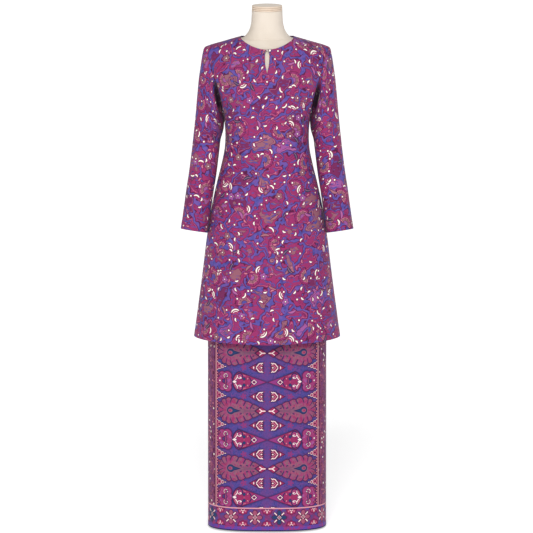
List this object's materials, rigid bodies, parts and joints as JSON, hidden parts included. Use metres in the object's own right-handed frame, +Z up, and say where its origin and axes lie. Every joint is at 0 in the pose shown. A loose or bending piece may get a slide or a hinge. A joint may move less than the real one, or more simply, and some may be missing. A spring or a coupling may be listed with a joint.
{
  "type": "baju kurung and limbless dress form",
  "caption": "Long-sleeved flared tunic over a straight ankle-length kain, set on a limbless dress form with a neck cap and a stand inside.",
  "frame": {"origin": "on the floor, under the middle of the stand's foot", "axes": "+Z up, the garment's front faces -Y, the wearer's left sleeve is on +X"},
  "size_m": [0.5166, 0.3264, 1.5808],
  "materials": {
    "tunic_cloth": "smooth printed cotton satin",
    "kain_cloth": "smooth printed cotton satin",
    "form_cover": "taut cream jersey over a hard form",
    "cap_wood": "pale satin wood",
    "pearl": "pearl",
    "loop_cord": "dark cord",
    "stand_metal": "satin paint"
  },
  "bodies": {
    "root": {"tunic_front": "tunic_cloth", "tunic_back": "tunic_cloth", "sleeve_left": "tunic_cloth", "sleeve_right": "tunic_cloth", "pearl_button": "pearl", "button_loop": "loop_cord", "kain_front": "kain_cloth", "kain_back": "kain_cloth", "kain_waistband": "kain_cloth", "form_torso": "form_cover", "neck_cap": "cap_wood", "stand_base": "stand_metal", "stand_pole": "stand_metal", "stand_flange": "stand_metal"}
  },
  "joints": []
}
